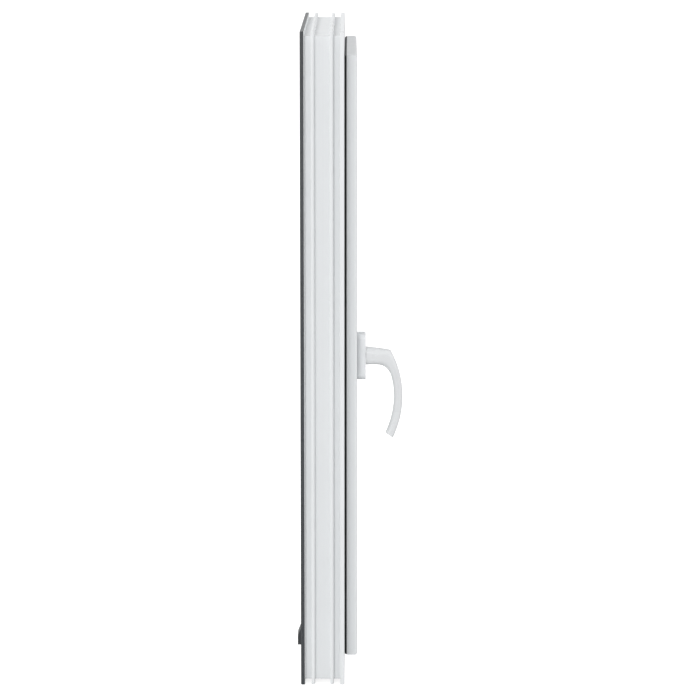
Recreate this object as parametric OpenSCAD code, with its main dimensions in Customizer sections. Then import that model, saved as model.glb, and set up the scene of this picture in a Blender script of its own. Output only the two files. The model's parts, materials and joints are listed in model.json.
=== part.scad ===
// Inward-opening casement window: a mitred frame, one glazed side-hung sash,
// an edge drive worked by a lever handle, and two pivot hinges.
// Sections are drawn as [u, v]: u runs from the outer edge of the frame towards the glass,
// v runs from the outdoor face towards the room. The room side faces -Y, the handle is at -X.

/* [Frame] */
// Width of the whole frame
frame_w = 550; // [460:10:760]
// Height of the whole frame
frame_h = 900; // [740:10:1300]
// Depth of the frame, outdoor face to room face
frame_d = 60; // [60:1:72]
// Frame face that shows around the sash on the room side
frame_show = 33.5; // [28:0.5:44]
// Depth of the outdoor lip that the sash closes towards
lip_d = 14.5; // [13:0.5:17]
// Depth of the channels along the outer edge
channel_h = 6.5; // [4:0.5:8]
// Width of the two flanges along the outer edge
flange_w = 6; // [4:0.5:7]
// Width of the two ribs between the flanges
rib_w = 5; // [3:0.5:6]
// Distance of each rib from the nearer face
rib_in = 14.6; // [13:0.2:16]
// Chamfer on the ribs and the room-side flange
rib_chamfer = 1.8; // [0.5:0.1:2]
// Chamfer on the outdoor flange, up to which the skin is carried
skin_chamfer = 0.8; // [0.5:0.1:2]
// Outer walls of the hollow plastic profiles
wall = 2.8; // [2.2:0.1:3.2]
// Walls between the chambers of the profiles
web = 1.5; // [1:0.1:2]
// Depth of the chamber behind the room face of the frame
room_chamber = 11.7; // [9:0.1:13]
// Thickness of the coloured outdoor skin
skin_t = 0.5; // [0.3:0.1:0.8]

/* [Sash] */
// How far the sash stands out of the room face of the frame
sash_proud = 17.6; // [15:0.2:22]
// Overlap of the sash on the room face of the frame, and of the lip on the sash
overlap = 8; // [6:0.5:10]
// Space between the frame and the edge of the sash
rebate_air = 12; // [11.5:0.1:13]
// Gap between the lip and the outdoor face of the sash
lip_gap = 2.7; // [2:0.1:4]
// Gap between the room face of the frame and the overlap
seal_gap = 3; // [2.5:0.1:4]
// Height of the sash body between its edge and the glazing rebate
sash_body_h = 37; // [36:0.5:44]
// Height of the outdoor glazing lip and of the beads
glaze_h = 20; // [18:0.5:24]
// Thickness of the outdoor glazing lip
glaze_lip = 7; // [6:0.5:8]
// Radius on the room edges of the sash
sash_round = 3; // [1:0.5:4]

/* [Glazing] */
// Thickness of each glass pane
pane_t = 4; // [3:0.5:6]
// Space between the panes
pane_gap = 16; // [12:1:16]
// Thickness of the glazing gaskets
gasket_t = 3; // [2:0.5:4]
// Height of the glazing gaskets
gasket_h = 6; // [4:0.5:8]
// Clearance under the edge of the glass, taken up by packers
glass_clear = 5; // [3:0.5:6]
// Length of a glazing packer
packer_l = 80; // [60:5:100]
// Height of the spacer bar between the panes
spacer_h = 6.5; // [5:0.5:8]
// Height of the sealant outside the spacer bar
sealant_h = 4.5; // [3:0.5:6]
// Walls of the beads
bead_wall = 1.6; // [1.2:0.1:2]
// Radius on the front of the beads
bead_round = 9; // [4:0.5:12]

/* [Edge drive] */
// Middle of the hardware groove, measured from the room face of the frame
groove_axis = 13; // [12:0.5:13]
// Width and depth of the seat of the faceplate
plate_w = 16; // [15:0.5:17]
plate_seat = 1.1; // [0.8:0.1:1.3]
// Thickness of the faceplate
plate_t = 2.5; // [2:0.1:2.6]
// Width of the inner groove that the rod slides in
groove_w = 12; // [12:0.5:13]
// Depth of the inner groove below the edge of the sash
groove_h = 8.5; // [8:0.5:9]
// Width of the drive rod
rod_w = 9; // [8:0.5:9.4]
// Thickness of the drive rod
rod_t = 2.2; // [1.8:0.1:2.4]
// Travel of the rod for a quarter turn of the handle
rod_travel = 18; // [16:1:18]
// Radius of a locking cam
cam_r = 5.5; // [4:0.5:6]
// Height of a locking cam above the faceplate
cam_h = 6.8; // [5:0.1:7]
// Distance of the end cams from the top and bottom of the frame
cam_end = 165; // [150:5:200]
// Height of the middle cam above the handle
cam_mid = 130; // [110:5:150]
// Teeth on a whole turn of the pinion
pinion_teeth = 16; // [16:1:16]
// Length of the gearbox
gearbox_l = 72; // [64:1:80]
// Walls of the gearbox
gearbox_wall = 1.2; // [1:0.1:1.3]

/* [Handle] */
// Distance of the handle axis from the edge of the sash
backset = 15; // [15:0.1:15.4]
// Height of the handle axis above the middle of the frame
handle_up = 0; // [-60:5:60]
// Length, width and thickness of the rosette
rosette_l = 64; // [60:1:72]
rosette_w = 32; // [28:1:34]
rosette_t = 11.8; // [10:0.1:14]
// Distance between the two handle screws
screw_pitch = 43; // [43:1:43]
// Side of the square spindle
spindle_w = 7; // [7:0.1:7]
// Diameter of the neck of the lever
neck_d = 24.4; // [20:0.2:26]
// Reach of the lever out from the sash
lever_out = 63.2; // [56:0.2:70]
// Length of the lever below its axis
lever_l = 115; // [100:1:130]
// Radius of the outer curve of the grip
grip_r = 128; // [118:1:140]
// Depth of the furthest point of the grip below the handle axis
grip_mid = 57; // [50:1:62]
// Thickness and width of the grip
grip_t = 12; // [10:0.5:14]
grip_w = 21; // [18:0.5:24]

/* [Hinges] */
// Radius of the hinge barrels
barrel_r = 6; // [5:0.5:6.5]
// Distance of the hinge axis out from the room face of the frame
hinge_out = 9; // [8.5:0.1:10]
// Length of the frame knuckle and of the sash knuckle
frame_knuckle = 24; // [18:1:30]
sash_knuckle = 34; // [26:1:40]
// Height of the lower end of the barrel above the bottom of the sash
hinge_up = 14; // [10:1:30]
// Radius of the hinge pins
pin_r = 3; // [2.5:0.1:3.5]
// Thickness of the hinge plates
leaf_t = 2; // [1.5:0.1:2.4]
bracket_t = 3; // [2:0.1:3]
// Length of the sash plate beyond its knuckle
leaf_tail = 46; // [36:1:60]

/* [Fixings] */
// Distance of the wall anchor holes from the top and bottom of the frame
anchor_end = 180; // [150:5:220]
// Radius of the wall anchor holes
anchor_r = 3.1; // [2.5:0.1:3.75]
// Distance of the drain caps from the sides of the frame
drain_in = 122; // [100:2:200]
// Height of the drain caps above the bottom of the frame
drain_up = 42; // [30:1:48]
// Width, height and depth of a drain cap
drain_w = 33; // [28:1:40]
drain_h = 26; // [12:1:28]
drain_d = 6.2; // [4:0.2:8]
// Shank radius of the small screws
screw_r = 1.9; // [1.5:0.1:2.1]

/* [Hidden] */
$fn = 48;
eps = 0.01;
// running clearance of shafts, and slack of parts that are laid in, on the radius or on a side
run = 0.05;
slack = 0.3;
snug = 0.02;

// section lines of the frame and the sash
jamb_h = frame_show + overlap;
edge_u = jamb_h + rebate_air;
lip_h = edge_u + overlap;
sash_v0 = lip_d + lip_gap;
sash_v1 = frame_d + sash_proud;
over_v = frame_d + seal_gap;
floor_u = edge_u + sash_body_h;
sight_u = floor_u + glaze_h;
mitre_u = sight_u + 1;

// glazing stack, from the outdoor lip to the bead
glass_u = floor_u + glass_clear;
pane_v = sash_v0 + glaze_lip + gasket_t;
unit_t = 2 * pane_t + pane_gap;
bead_v = pane_v + unit_t + gasket_t;
bead_top_v = sash_v1 - 1.6;
foot_w = 3;
foot_h = 2.4;
foot_v = bead_top_v - 7;

// steel cores
steel_t = 1.5;
core_v = lip_d - wall + web;
core_v1 = frame_d - wall - room_chamber - web;
core_u = channel_h + wall;
core_u1 = jamb_h - wall;
score_v = sash_v0 + 11.8;
score_v1 = over_v - 6;
score_u = edge_u + groove_h + 2.5;
score_u1 = floor_u - foot_h - 2 * slack - web;

// edge drive
groove_v = frame_d - groove_axis;
plate_u = edge_u + plate_seat - plate_t;
rod_u = edge_u + plate_seat + 0.1;
drive_z = frame_h / 2 + handle_up;
axis_u = edge_u + backset;
pitch_r = rod_travel * 2 / PI;
tooth_p = 2 * PI * pitch_r / pinion_teeth;
tooth_a = 1;
tooth_d = 1.2;
plate_end = edge_u + 22;
cam_z = [cam_end, drive_z + cam_mid, frame_h - cam_end];
stem_r = 3;
rivet_r = 2.2;
plate_screw_z = [plate_end + 12, drive_z - gearbox_l / 2 - 50, drive_z + gearbox_l / 2 + 30, frame_h - plate_end - 12];
box_u1 = axis_u + pitch_r + tooth_a + 2 * slack + gearbox_wall;
box_v = groove_v - 5.9;
box_t = 11.8;
hub_r = 8;
sleeve_r = 5.5;

// strikers
keep_base = 2.4;
keep_lip_u = plate_u - 2.6;
keep_l = 62;
keep_back = 25;

// handle
seat_v = sash_v1;
collar_v = seat_v + rosette_t;
spigot_r = 8;
base_t = rosette_t - 2.2;
cover_t = 1.6;

// hinges
pivot_u = frame_show - leaf_t - slack - barrel_r;
pivot_v = frame_d + hinge_out;
washer_t = 1;
barrel_z = frame_show + hinge_up;
bracket_u0 = 4;
bracket_u1 = pivot_u - 5;
bracket_l = frame_knuckle + sash_knuckle + 6;
bracket_screw_at = [7, bracket_l / 2, bracket_l - 7];
leaf_screw_at = [leaf_tail - 32, leaf_tail - 9];
bracket_screw_l = 24;

white = [0.93, 0.94, 0.95];
anthracite = [0.23, 0.25, 0.27];
black = [0.05, 0.05, 0.05];
zinc = [0.72, 0.73, 0.72];
grey_plastic = [0.45, 0.46, 0.47];

function x_lock(u) = -frame_w / 2 + u;
function x_hinge(u) = frame_w / 2 - u;
function y_at(v) = frame_d / 2 - v;

// ---- shared shapes ----

// Moves to one side of the window: 0 bottom, 1 lock side, 2 top, 3 hinge side.
// There X runs along the side, Y is -v and Z is u.
module on_side(side) {
    dist = side % 2 == 0 ? frame_h / 2 : frame_w / 2;
    translate([0, 0, frame_h / 2]) rotate([0, 90 * side, 0])
        translate([0, frame_d / 2, -dist]) children();
}

// One mitred side, extruded from the [u, v] section given as children
module mitred(side) {
    len = side % 2 == 0 ? frame_w : frame_h;
    on_side(side) intersection() {
        rotate([180, -90, 0]) linear_extrude(len, center = true) children();
        rotate([90, 0, 0]) linear_extrude(6 * frame_d, center = true)
            polygon([[-len / 2, 0], [len / 2, 0], [len / 2 - mitre_u, mitre_u], [mitre_u - len / 2, mitre_u]]);
    }
}

// Four mitred sides joined in one closed ring
module ring() {
    for (side = [0:3]) mitred(side) children();
}

// Rectangle in a section, between two corners
module patch(u0, v0, u1, v1) {
    translate([u0, v0]) square([u1 - u0, v1 - v0]);
}

// What a rounded corner of radius r takes away. The solid lies towards [du, dv] from the corner.
module round_off(u, v, du, dv, r) {
    difference() {
        translate([u - (du > 0 ? 1 : r), v - (dv > 0 ? 1 : r)]) square(r + 1);
        translate([u + du * r, v + dv * r]) circle(r);
    }
}

// Countersunk screw along -Z with the top of its head at z = 0. grow widens it to cut its hole.
module screw(len, r, head_r, head_h, grow = 0) {
    difference() {
        union() {
            translate([0, 0, -len - grow]) cylinder(h = len - head_h / 2 + grow, r = r + grow);
            translate([0, 0, -head_h - grow]) cylinder(h = head_h + grow, r1 = r + grow, r2 = head_r + grow);
            if (grow > 0) translate([0, 0, -eps]) cylinder(h = 1, r = head_r + grow);
        }
        if (grow == 0) translate([0, 0, -head_h * 0.6]) cylinder(h = head_h, r = r * 0.75, $fn = 6);
    }
}

module small_screw(len, grow = 0) {
    screw(len, screw_r, screw_r * 2, 2, grow);
}

// Straight slot with round ends along Y, depth along Z, centred on its length
module slot(len, r, depth) {
    for (end = [-1, 1]) translate([0, end * (len / 2 - r), 0]) cylinder(h = depth, r = r);
    translate([-r, r - len / 2, 0]) cube([2 * r, len - 2 * r, depth]);
}

// Turns a shape drawn along +Z so that it runs towards +X, with its Y still along Z of the window
module towards_x() {
    rotate([90, 0, 90]) children();
}

// Turns a shape drawn along +Z so that it runs out into the room
module towards_room() {
    rotate([90, 0, 0]) children();
}

// ---- frame ----

module frame_skin_section() {
    difference() {
        union() {
            patch(0, 0, lip_h, skin_t);
            patch(0, 0, skin_t, flange_w - skin_chamfer);
            patch(lip_h - skin_t, 0, lip_h, lip_d - 4);
        }
        round_off(0, 0, 1, 1, 1);
        round_off(lip_h, 0, -1, 1, 1);
    }
    // skin carried round the two edges
    intersection() {
        difference() {
            translate([1, 1]) circle(1);
            translate([1, 1]) circle(1 - skin_t);
        }
        patch(0, 0, 1, 1);
    }
    intersection() {
        difference() {
            translate([lip_h - 1, 1]) circle(1);
            translate([lip_h - 1, 1]) circle(1 - skin_t);
        }
        patch(lip_h - 1, 0, lip_h, 1);
    }
}

// Channel along the outer edge from v0 to v1, chamfered on the side nearer the outdoor face
module channel(v0, v1, chamfer = rib_chamfer) {
    polygon([
        [-1, v0 - chamfer - 1], [chamfer, v0], [channel_h, v0], [channel_h, v1], [-1, v1]
    ]);
}

module frame_section() {
    difference() {
        union() {
            patch(0, 0, jamb_h, frame_d);
            patch(0, 0, lip_h, lip_d);
        }
        round_off(0, 0, 1, 1, 1);
        round_off(lip_h, 0, -1, 1, 1);
        round_off(lip_h, lip_d, -1, -1, 1);
        round_off(0, frame_d, 1, -1, 0.8);
        round_off(jamb_h, frame_d, -1, -1, 1.2);
        channel(flange_w, rib_in, skin_chamfer);
        channel(rib_in + rib_w, frame_d - rib_in - rib_w);
        channel(frame_d - rib_in, frame_d - flange_w);
        patch(core_u, skin_t + wall, lip_h - wall, lip_d - wall);
        patch(core_u, core_v, core_u1, core_v1);
        patch(core_u, core_v1 + web, core_u1, frame_d - wall);
        frame_skin_section();
    }
}

// Holes for the wall anchors, through both jambs
module anchor_holes() {
    for (z = [anchor_end, frame_h - anchor_end]) translate([0, 0, z])
        rotate([0, 90, 0]) cylinder(h = frame_w + 2, r = anchor_r, center = true);
}

// Outdoor slots behind the drain caps, and slots through the foot of the lip
module drain_slots() {
    for (side = [-1, 1]) translate([side * (frame_w / 2 - drain_in), 0, 0]) {
        translate([-drain_w / 2 + 4, y_at(skin_t + wall + 1), drain_up - 2.5])
            cube([drain_w - 8, skin_t + wall + 2, 5]);
        translate([-drain_w / 2 + 4, y_at(lip_d + 1), jamb_h]) cube([drain_w - 8, wall + 2, 4]);
    }
}

module at_bracket_screws(grow) {
    for (end = [0, 1]) translate([0, 0, end * frame_h]) mirror([0, 0, end])
        for (at = bracket_screw_at)
            translate([x_hinge((bracket_u0 + bracket_u1) / 2), y_at(frame_d + bracket_t), barrel_z + at - 3])
                towards_room() small_screw(bracket_screw_l, grow);
}

module at_striker_screws(grow) {
    for (z = cam_z, at = [-keep_back + 6, keep_l - keep_back - 6])
        translate([x_lock(jamb_h + keep_base), y_at(groove_v), z + at])
            rotate([0, 90, 0]) small_screw(16, grow);
}

module frame_member(side) {
    difference() {
        mitred(side) frame_section();
        if (side == 0) drain_slots();
        if (side == 1) at_striker_screws(snug);
        if (side == 3) at_bracket_screws(snug);
        if (side % 2 == 1) anchor_holes();
    }
}

module frame_head() { color(white) frame_member(2); }
module frame_sill() { color(white) frame_member(0); }
module frame_lock_jamb() { color(white) frame_member(1); }
module frame_hinge_jamb() { color(white) frame_member(3); }

// Square steel tube between section corners, along one side, with its ends cut short of the mitre
module core_bar(side, u0, v0, u1, v1) {
    len = (side % 2 == 0 ? frame_w : frame_h) - 2 * u1 - 4;
    on_side(side) rotate([180, -90, 0]) linear_extrude(len, center = true) difference() {
        patch(u0 + slack, v0 + slack, u1 - slack, v1 - slack);
        patch(u0 + slack + steel_t, v0 + slack + steel_t, u1 - slack - steel_t, v1 - slack - steel_t);
    }
}

module frame_steel() {
    color(zinc) difference() {
        for (side = [0:3]) core_bar(side, core_u, core_v, core_u1, core_v1);
        at_striker_screws(snug);
        at_bracket_screws(snug);
        anchor_holes();
    }
}

module frame_skin() {
    color(anthracite) difference() {
        ring() frame_skin_section();
        drain_slots();
    }
}

module frame_gasket() {
    gasket_u = lip_h - 6;
    color(black) ring() difference() {
        patch(gasket_u, lip_d, gasket_u + 4.6, sash_v0 - slack);
        round_off(gasket_u, sash_v0 - slack, 1, -1, 1);
        round_off(gasket_u + 4.6, sash_v0 - slack, -1, -1, 1);
    }
}

// Hood over each outdoor drain slot, open at its lower edge
module drain_caps() {
    color(anthracite) for (side = [-1, 1])
        translate([side * (frame_w / 2 - drain_in), y_at(0), drain_up]) rotate([90, 0, 90]) difference() {
            linear_extrude(drain_w, center = true) polygon([
                [0, -drain_h / 2], [drain_d, -drain_h / 2], [drain_d, 0], [1, drain_h / 2], [0, drain_h / 2]
            ]);
            linear_extrude(drain_w - 2.4, center = true) polygon([
                [-1, -drain_h / 2 - 1], [drain_d - 1.2, -drain_h / 2 - 1], [drain_d - 1.2, -1],
                [0, drain_h / 2 - 2.4], [-1, drain_h / 2 - 2.4]
            ]);
        }
}

// Base plate with a raised lip. At rest each cam lies just below the end of its lip.
module strikers() {
    keep_v1 = groove_v + 10;
    lip_v = groove_v + cam_r + 0.8;
    color(zinc) difference() {
        for (z = cam_z) translate([x_lock(jamb_h), 0, z]) {
            translate([0, y_at(keep_v1), -keep_back]) cube([keep_base, 20, keep_l]);
            translate([0, y_at(keep_v1), cam_r + 0.6])
                cube([keep_lip_u - jamb_h, keep_v1 - lip_v, keep_l - keep_back - cam_r - 14]);
            translate([0, y_at(groove_v - cam_r - 0.8), cam_r + 0.6])
                cube([keep_lip_u - jamb_h - 1, 2.5, keep_l - keep_back - cam_r - 14]);
        }
        at_striker_screws(snug);
    }
}

module striker_screws() { color(zinc) at_striker_screws(0); }

// ---- hinges ----

// Places the lower hinge, and mirrors it for the upper one. Its origin is on the axis, at the barrel's end.
module at_hinge(upper) {
    translate([0, 0, upper ? frame_h : 0]) mirror([0, 0, upper ? 1 : 0])
        translate([x_hinge(pivot_u), y_at(pivot_v), barrel_z]) children();
}

module hinge_bracket(upper) {
    color(white) difference() {
        at_hinge(upper) union() {
            translate([pivot_u - bracket_u1, hinge_out - bracket_t, -3])
                cube([bracket_u1 - bracket_u0, bracket_t, bracket_l]);
            translate([0, hinge_out - bracket_t, 0]) cube([pivot_u - bracket_u1 + 1, bracket_t, frame_knuckle]);
            translate([-pin_r, 0, 0]) cube([2 * pin_r, hinge_out, frame_knuckle]);
            cylinder(h = frame_knuckle, r = barrel_r);
        }
        at_hinge(upper) translate([0, 0, -1]) cylinder(h = frame_knuckle + 2, r = pin_r + snug);
        at_bracket_screws(snug);
    }
}

module hinge_bracket_lower() { hinge_bracket(false); }
module hinge_bracket_upper() { hinge_bracket(true); }

module bracket_screws() { color(zinc) at_bracket_screws(0); }

// Plastic cover clipped over each bracket plate
module bracket_covers() {
    cover_h = bracket_t + 2.6;
    out = 1.4;
    color(white) for (upper = [false, true]) at_hinge(upper) difference() {
        translate([pivot_u - bracket_u1 + 0.6, hinge_out - cover_h, -3 - out])
            cube([bracket_u1 - bracket_u0 + out - 0.6, cover_h, bracket_l + 2 * out]);
        translate([pivot_u - bracket_u1 - 1, hinge_out - cover_h + 1.2, -3 - 0.2])
            cube([bracket_u1 - bracket_u0 + 1.2, cover_h, bracket_l + 0.4]);
    }
}

// Headed pin, pushed in from the free end of the frame knuckle
module hinge_pins() {
    color(zinc) for (upper = [false, true]) at_hinge(upper) {
        cylinder(h = frame_knuckle + washer_t + sash_knuckle - 2, r = pin_r);
        translate([0, 0, -1.5]) cylinder(h = 1.5, r = barrel_r);
        translate([0, 0, -3]) cylinder(h = 1.5, r1 = barrel_r - 1.5, r2 = barrel_r);
    }
}

module hinge_washers() {
    color(grey_plastic) for (upper = [false, true]) at_hinge(upper)
        translate([0, 0, frame_knuckle]) difference() {
            cylinder(h = washer_t - run, r = barrel_r);
            translate([0, 0, -1]) cylinder(h = washer_t + 2, r = pin_r + snug);
        }
}

module at_leaf_screws(grow) {
    for (upper = [false, true]) at_hinge(upper)
        for (at = leaf_screw_at)
            translate([-barrel_r - slack, 0, frame_knuckle + washer_t + sash_knuckle + at])
                rotate([0, 90, 0]) small_screw(leaf_t + 9, grow);
}

// Knuckle and plate on the edge of the overlap, with a closed cap end
module hinge_leaf(upper) {
    leaf_w = sash_v1 - over_v - 3;
    color(white) difference() {
        at_hinge(upper) translate([0, 0, frame_knuckle + washer_t]) {
            cylinder(h = sash_knuckle, r = barrel_r);
            translate([-barrel_r - slack - leaf_t, -leaf_w / 2, 1]) cube([leaf_t, leaf_w, sash_knuckle + leaf_tail - 1]);
            translate([-barrel_r - slack - eps, -pin_r - 1, 1]) cube([barrel_r + slack, 2 * pin_r + 2, sash_knuckle - 2]);
        }
        at_hinge(upper) translate([0, 0, frame_knuckle]) cylinder(h = washer_t + sash_knuckle - 1.5, r = pin_r + run);
        at_leaf_screws(snug);
    }
}

module hinge_leaf_lower() { hinge_leaf(false); }
module hinge_leaf_upper() { hinge_leaf(true); }

module leaf_screws() { color(zinc) at_leaf_screws(0); }

// ---- sash ----

module sash_skin_section() {
    difference() {
        union() {
            patch(edge_u + 1, sash_v0, sight_u, sash_v0 + skin_t);
            patch(sight_u - skin_t, sash_v0, sight_u, sash_v0 + glaze_lip);
        }
        round_off(sight_u, sash_v0, -1, 1, 1);
    }
    intersection() {
        difference() {
            translate([sight_u - 1, sash_v0 + 1]) circle(1);
            translate([sight_u - 1, sash_v0 + 1]) circle(1 - skin_t);
        }
        patch(sight_u - 1, sash_v0, sight_u, sash_v0 + 1);
    }
}

module sash_section() {
    difference() {
        union() {
            patch(edge_u, sash_v0, floor_u, sash_v1);
            patch(frame_show, over_v, edge_u + 1, sash_v1);
            patch(floor_u - 1, sash_v0, sight_u, sash_v0 + glaze_lip);
        }
        round_off(frame_show, sash_v1, 1, -1, sash_round);
        round_off(frame_show, over_v, 1, 1, 1);
        round_off(edge_u, sash_v0, 1, 1, 1);
        round_off(sight_u, sash_v0, -1, 1, 1);
        // hardware groove
        patch(edge_u - 1, groove_v - plate_w / 2 - slack / 2, edge_u + plate_seat, groove_v + plate_w / 2 + slack / 2);
        patch(edge_u - 1, groove_v - groove_w / 2, edge_u + groove_h, groove_v + groove_w / 2);
        // groove that the bead clips into
        patch(floor_u - foot_h - slack, foot_v - slack, floor_u + 1, foot_v + foot_w + slack);
        // chambers
        patch(edge_u + wall, sash_v0 + skin_t + wall, score_u1, score_v - web);
        patch(score_u, score_v, score_u1, score_v1);
        patch(edge_u + wall, score_v1 + web, score_u1, sash_v1 - wall);
        patch(frame_show + wall, over_v + wall, edge_u + wall - web, sash_v1 - wall);
        sash_skin_section();
    }
}

// Milled pocket of the gearbox and the holes of the spindle and the handle screws
module lock_milling() {
    translate([x_lock(edge_u + plate_seat), y_at(box_v + box_t + slack), drive_z - gearbox_l / 2 - slack])
        cube([box_u1 - edge_u - plate_seat + slack, box_t + 2 * slack, gearbox_l + 2 * slack]);
    translate([x_lock(axis_u), y_at(groove_v), drive_z]) towards_room() {
        cylinder(h = frame_d, r = 7);
        for (end = [-1, 1]) translate([0, end * screw_pitch / 2, 0]) cylinder(h = frame_d, r = sleeve_r);
    }
}

module at_plate_screws(grow) {
    for (z = plate_screw_z) translate([x_lock(plate_u), y_at(groove_v), z])
        rotate([0, -90, 0]) small_screw(groove_h + 6, grow);
}

module sash_member(side) {
    difference() {
        mitred(side) sash_section();
        if (side == 1) lock_milling();
        if (side == 1) at_plate_screws(snug);
        if (side == 3) at_leaf_screws(snug);
    }
}

module sash_top_rail() { color(white) sash_member(2); }
module sash_bottom_rail() { color(white) sash_member(0); }
module sash_lock_stile() { color(white) sash_member(1); }
module sash_hinge_stile() { color(white) sash_member(3); }

module sash_steel() {
    color(zinc) difference() {
        for (side = [0:3]) core_bar(side, score_u, score_v, score_u1, score_v1);
        lock_milling();
        at_plate_screws(snug);
    }
}

module sash_skin() { color(anthracite) ring() sash_skin_section(); }

// Seal on the overlap that meets the room face of the frame
module sash_gasket() {
    color(black) ring() difference() {
        patch(frame_show + 0.6, frame_d + slack / 2, frame_show + 6, over_v);
        round_off(frame_show + 0.6, frame_d + slack / 2, 1, 1, 1);
        round_off(frame_show + 6, frame_d + slack / 2, -1, 1, 1);
    }
}

// ---- glazing ----

module pane(v) {
    color([0.78, 0.88, 0.9, 0.35]) translate([x_lock(glass_u), y_at(v + pane_t), glass_u])
        cube([frame_w - 2 * glass_u, pane_t, frame_h - 2 * glass_u]);
}

module pane_outdoor() { pane(pane_v); }
module pane_indoor() { pane(pane_v + pane_t + pane_gap); }

module spacer_bar() {
    u0 = glass_u + sealant_h;
    v0 = pane_v + pane_t;
    color(zinc) ring() difference() {
        patch(u0, v0, u0 + spacer_h, v0 + pane_gap);
        patch(u0 + 0.6, v0 + 0.6, u0 + spacer_h - 0.6, v0 + pane_gap - 0.6);
    }
}

module edge_sealant() {
    color(black) ring() patch(glass_u, pane_v + pane_t, glass_u + sealant_h, pane_v + pane_t + pane_gap);
}

// Packers under and above the glass near the corners, and one pair on each upright
module glazing_packers() {
    from_corner = glass_u + packer_l / 2 + 30;
    color(grey_plastic) for (side = [0:3]) on_side(side) for (end = [-1, 1])
        translate([end * ((side % 2 == 0 ? frame_w : frame_h) / 2 - from_corner), -pane_v, 0])
            translate([-packer_l / 2, -unit_t, floor_u]) cube([packer_l, unit_t, glass_clear]);
}

module glazing_gasket(v) {
    color(black) ring() difference() {
        patch(sight_u - gasket_h - 0.8, v, sight_u - 0.8, v + gasket_t);
        round_off(sight_u - 0.8, v, -1, 1, 0.6);
        round_off(sight_u - 0.8, v + gasket_t, -1, -1, 0.6);
    }
}

module glazing_gasket_outdoor() { glazing_gasket(sash_v0 + glaze_lip); }
module glazing_gasket_indoor() { glazing_gasket(bead_v - gasket_t); }

module bead(side) {
    color(white) mitred(side) {
        difference() {
            patch(floor_u, bead_v, sight_u, bead_top_v);
            round_off(sight_u, bead_top_v, -1, -1, bead_round);
            round_off(floor_u, bead_top_v, 1, -1, 0.8);
            patch(floor_u + bead_wall, bead_v + bead_wall, sight_u - bead_round, bead_top_v - bead_wall);
            patch(sight_u - bead_round - 1, bead_v + bead_wall, sight_u - bead_wall, bead_top_v - bead_round);
        }
        patch(floor_u - foot_h, foot_v, floor_u + 1, foot_v + foot_w);
    }
}

module bead_top() { bead(2); }
module bead_bottom() { bead(0); }
module bead_lock() { bead(1); }
module bead_hinge() { bead(3); }

// ---- edge drive ----

module faceplate() {
    color(zinc) difference() {
        translate([x_lock(plate_u), y_at(groove_v + plate_w / 2), plate_end])
            cube([plate_t, plate_w, frame_h - 2 * plate_end]);
        for (z = cam_z) translate([x_lock(plate_u) - 1, y_at(groove_v), z - rod_travel / 2])
            towards_x() slot(rod_travel + 2 * stem_r + 2 * slack, stem_r + slack, plate_t + 2);
        at_plate_screws(snug);
    }
}

module faceplate_screws() { color(zinc) at_plate_screws(0); }

// Flat rod behind the faceplate, with a rack where it passes the pinion
module drive_rod() {
    rack_z = drive_z + rod_travel / 2;
    rack_n = round(rod_travel / tooth_p) + 4;
    half = tooth_p / 2 - 0.15;
    color(zinc) difference() {
        union() {
            translate([x_lock(rod_u), y_at(groove_v + rod_w / 2), plate_end + rod_travel + 4])
                cube([rod_t, rod_w, frame_h - 2 * plate_end - rod_travel - 8]);
            translate([x_lock(rod_u), y_at(groove_v + rod_w / 2), rack_z - rack_n * tooth_p / 2])
                cube([axis_u - pitch_r + tooth_a - rod_u, rod_w, rack_n * tooth_p]);
        }
        // tooth spaces of the rack, one of them level with the pinion axis
        for (i = [0:rack_n - 1]) {
            z = rack_z + (i - rack_n / 2) * tooth_p;
            translate([x_lock(axis_u - pitch_r), y_at(groove_v + rod_w), z]) rotate([-90, 0, 0])
                linear_extrude(2 * rod_w) polygon([
                    [-tooth_d, -half / 2 + 0.4], [tooth_a + 1, -half / 2 - 1.05],
                    [tooth_a + 1, half / 2 + 1.05], [-tooth_d, half / 2 - 0.4]
                ]);
        }
        for (z = plate_screw_z) translate([x_lock(rod_u) - 1, y_at(groove_v), z + rod_travel / 2])
            towards_x() slot(rod_travel + 2 * screw_r + 2 * slack, screw_r + slack, rod_t + 2);
        for (z = cam_z) translate([x_lock(rod_u) - 1, y_at(groove_v), z])
            rotate([0, 90, 0]) cylinder(h = rod_t + 2, r = rivet_r + snug);
    }
}

// Mushroom cams riveted to the rod
module cams() {
    color(zinc) for (z = cam_z) translate([x_lock(rod_u), y_at(groove_v), z]) rotate([0, -90, 0]) {
        translate([0, 0, -rod_t]) cylinder(h = rod_t, r = rivet_r);
        cylinder(h = plate_t + 0.4, r = stem_r);
        translate([0, 0, plate_t + 0.4]) cylinder(h = cam_h - 1, r = cam_r - 0.8);
        translate([0, 0, plate_t + cam_h - 2.6]) cylinder(h = 2, r = cam_r);
        translate([0, 0, plate_t + cam_h - 0.6]) cylinder(h = 1, r1 = cam_r, r2 = cam_r - 1);
    }
}

module case_shape(v0, v1) {
    translate([x_lock(edge_u + plate_seat), y_at(v1), drive_z - gearbox_l / 2])
        cube([box_u1 - edge_u - plate_seat, v1 - v0, gearbox_l]);
}

// Space inside the gearbox for the pinion, its hubs, the rod and the handle screws
module case_hollow() {
    inner_w = rod_w + 2 * run;
    translate([x_lock(axis_u), y_at(groove_v), drive_z]) {
        towards_room() {
            cylinder(h = inner_w, r = pitch_r + tooth_a + slack, center = true);
            cylinder(h = box_t + 2, r = hub_r + run, center = true);
            for (end = [-1, 1]) translate([0, end * screw_pitch / 2, 0])
                cylinder(h = box_t + 2, r = 2.5 + snug, center = true);
        }
    }
    translate([x_lock(edge_u), y_at(groove_v + inner_w / 2), drive_z - gearbox_l / 2 - 1])
        cube([axis_u - pitch_r + tooth_a + slack - edge_u, inner_w, gearbox_l + 2]);
}

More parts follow.
